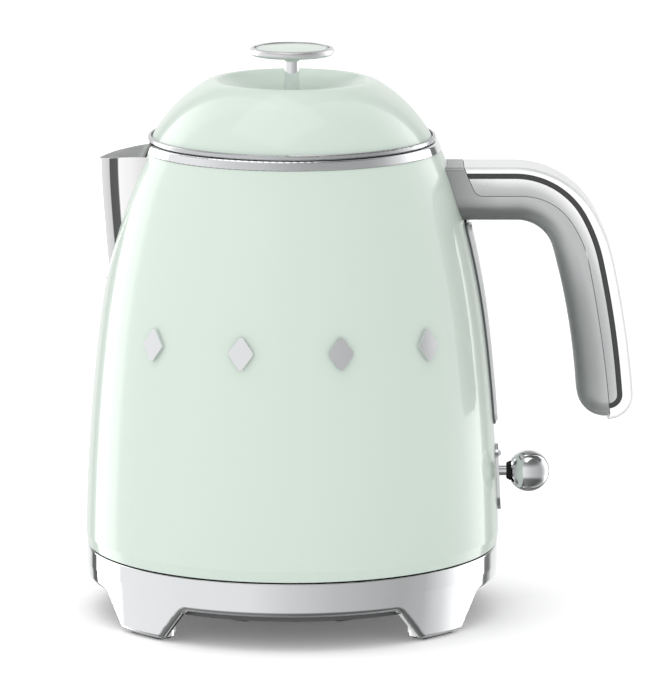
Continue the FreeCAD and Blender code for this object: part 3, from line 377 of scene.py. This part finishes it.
# ---------------------------------------------------------------- finishes
# One for each material slot of the record
finishes = {
    "base_chrome": chrome("base_chrome_look", rough=0.05),
    "bright_chrome": chrome("bright_chrome_look", rough=0.04),
    "polished_steel": chrome("polished_steel_look", (0.72, 0.72, 0.72), 0.14, 0.05),
    "heater_steel": chrome("heater_steel_look", (0.34, 0.32, 0.31), 0.38, 0.1),
    "diffuser_aluminium": chrome("diffuser_aluminium_look", (0.78, 0.79, 0.80), 0.4, 0.1),
    "screw_steel": chrome("screw_steel_look", (0.62, 0.62, 0.61), 0.28, 0.1),
    "sole_rubber": rubber("sole_rubber_look"),
    "seal_rubber": rubber("seal_rubber_look", (0.10, 0.105, 0.11)),
    "deck_plastic": plastic("deck_plastic_look", (0.26, 0.27, 0.28), 0.5, 700, 0.12),
    "under_plastic": plastic("under_plastic_look", (0.10, 0.10, 0.105), 0.55, 700, 0.15),
    "connector_plastic": plastic("connector_plastic_look", (0.035, 0.035, 0.038), 0.42, 900),
    "lead_insulation": plastic("lead_insulation_look", (0.22, 0.11, 0.05), 0.4, 900),
    "underside_plastic": plastic("underside_plastic_look", (0.23, 0.24, 0.25), 0.5, 700, 0.12),
    "inner_plastic": plastic("inner_plastic_look", (0.50, 0.49, 0.46), 0.45, 900),
    "grip_plastic": plastic("grip_plastic_look", (0.400, 0.405, 0.410), 0.34, 1100, 0.03, metal=0.7),
    "cover_plastic": plastic("cover_plastic_look", (0.56, 0.57, 0.575), 0.32, 1300, 0.03, metal=0.35),
    "lid_plastic": plastic("lid_plastic_look", (0.42, 0.44, 0.45), 0.3, 1200, 0.03, coat=0.3),
    "frame_plastic": plastic("frame_plastic_look", (0.36, 0.37, 0.38), 0.42, 1100),
    # The dark inlay strip is painted shade, standing in for the dark line along the handle's trim
    "inlay_dark": plastic("inlay_painted_shade_look", (0.045, 0.046, 0.048), 0.28, 1100, 0.03),
    "lamp_lens": plastic("lamp_lens_look", (0.62, 0.66, 0.70), 0.16, 1200, 0.02, coat=0.8),
    "contact_brass": brass("contact_brass_look"),
    "window_clear": pane("window_clear_look"),
    "green_enamel": enamel("green_enamel_look", False),
}
# Nodes that look different from the rest of their slot
special = {
    # The grip and cover colours run from painted shade to painted highlight across their depth
    "handle_grip": painted_shade_handle_skin("handle_grip_painted_shade_look", GRIP_PAINTED_SHADE_DEPTHS, (0.20, 0.202, 0.205), (0.64, 0.645, 0.65),
                               0.34, 0.7),
    "handle_cover": painted_shade_handle_skin("handle_cover_painted_shading_look", COVER_PAINTED_SHADE_DEPTHS, (0.42, 0.425, 0.43), (0.99, 0.99, 0.99),
                                0.3, 0.3),
    "handle_trim": painted_light_trim("handle_trim_painted_light_look"),
    "body_shell": enamel("body_enamel_look", True),
    "knob_cap": chrome("knob_cap_look", (0.80, 0.80, 0.81), 0.30),
    "knob_inlay": enamel_with_painted_rim_shade("knob_inlay_painted_rim_shade_look"),
    "lid_bead": chrome("lid_bead_look", (0.60, 0.61, 0.62), 0.22),
    "spout": beak("beak_painted_reflection_look"),
    "lid_dome": enamel("lid_enamel_look", False),
    "filter_mesh": mesh_steel("filter_mesh_painted_shade_look"),
    "lever_collar": rubber("lever_collar_look", (0.012, 0.012, 0.013)),
}
slot_of = {entry["node"]: entry["material_slot"] for entry in frame["record"]["subparts"]}
for name, node in nodes.items():
    node.data.materials.clear()
    node.data.materials.append(special.get(name) or finishes[slot_of[name]])


# ---------------------------------------------------------------- floor, lamp, camera
def put(name, data, place, towards):
    """Places a lamp or a camera so that it looks at a point."""
    holder = bpy.data.objects.new(name, data)
    scene.collection.objects.link(holder)
    holder.location = place
    holder.rotation_mode = "QUATERNION"
    holder.rotation_quaternion = (Vector(towards) - Vector(place)).to_track_quat("-Z", "Y")
    return holder


def pale_floor():
    """A plain white floor that reflections look straight through."""
    h = FLOOR_HALF
    mesh = bpy.data.meshes.new("floor")
    mesh.from_pydata([(-h, -h, 0), (h, -h, 0), (h, h, 0), (-h, h, 0)], [], [(0, 1, 2, 3)])
    floor = bpy.data.objects.new("floor", mesh)
    scene.collection.objects.link(floor)
    t = Tree("floor_look")
    shader = t.principled(Roughness=0.9, Base_Color=(0.93, 0.93, 0.93, 1), Specular_IOR_Level=0.0,
                          Emission_Color=WHITE, Emission_Strength=FLOOR_GLOW)
    clear = t.add("ShaderNodeBsdfTransparent")
    rays = t.add("ShaderNodeLightPath")
    t.surface(t.choose(rays.outputs["Is Glossy Ray"], shader.outputs["BSDF"], clear.outputs["BSDF"]))
    mesh.materials.append(t.mat)


def overhead_card():
    lamp = bpy.data.lights.new("overhead", "AREA")
    lamp.shape = "RECTANGLE"
    lamp.size, lamp.size_y = OVERHEAD_SIDE, OVERHEAD_SIDE
    lamp.energy = OVERHEAD_POWER
    put("overhead", lamp, OVERHEAD_PLACE, (0, 0, 0))


def background(g, strength, colour=None):
    """A world shader, white unless it is given a colour."""
    node = g.add("ShaderNodeBackground")
    node.inputs["Strength"].default_value = strength
    node.inputs["Color"].default_value = WHITE
    if colour is not None:
        g.link(colour, node.inputs["Color"])
    return node.outputs["Background"]


def studio_world():
    """White behind the kettle, soft light on it, and light and dark panels for its reflections."""
    world = bpy.data.worlds.new("studio")
    scene.world = world
    world.use_nodes = True
    g = Graph(world.node_tree)
    x, y, z = g.xyz("Generated")
    turn = g.maths("ARCTAN2", x, g.maths("MULTIPLY", y, -1.0))
    room = g.grey_ramp(g.maths("MULTIPLY_ADD", turn, 0.5 / math.pi, 0.5), ROOM_LEVELS)
    height = g.grey_ramp(g.maths("MULTIPLY_ADD", z, 0.5, 0.5), HEIGHT_LEVELS)
    shine = g.add("ShaderNodeMix", data_type="RGBA", blend_type="MULTIPLY")
    shine.inputs["Factor"].default_value = 1.0
    g.link(room, shine.inputs["A"])
    g.link(height, shine.inputs["B"])
    soft = g.grey_ramp(g.maths("MULTIPLY_ADD", x, 0.5, 0.5), SOFT_LEVELS)
    rays = g.add("ShaderNodeLightPath")
    lit = g.choose(rays.outputs["Is Glossy Ray"], background(g, SOFT_STRENGTH, soft),
                   background(g, ROOM_PEAK, shine.outputs["Result"]))
    seen = g.choose(rays.outputs["Is Camera Ray"], lit, background(g, 1.0))
    g.link(seen, g.tree.nodes["World Output"].inputs["Surface"])


pale_floor()
overhead_card()
studio_world()

camera = bpy.data.cameras.new("camera")
camera.sensor_width = CAMERA_SENSOR_MM
camera.lens = CAMERA_LENS_MM
scene.camera = put("camera", camera, CAMERA_PLACE, CAMERA_AIM)
scene.view_settings.view_transform = "Standard"
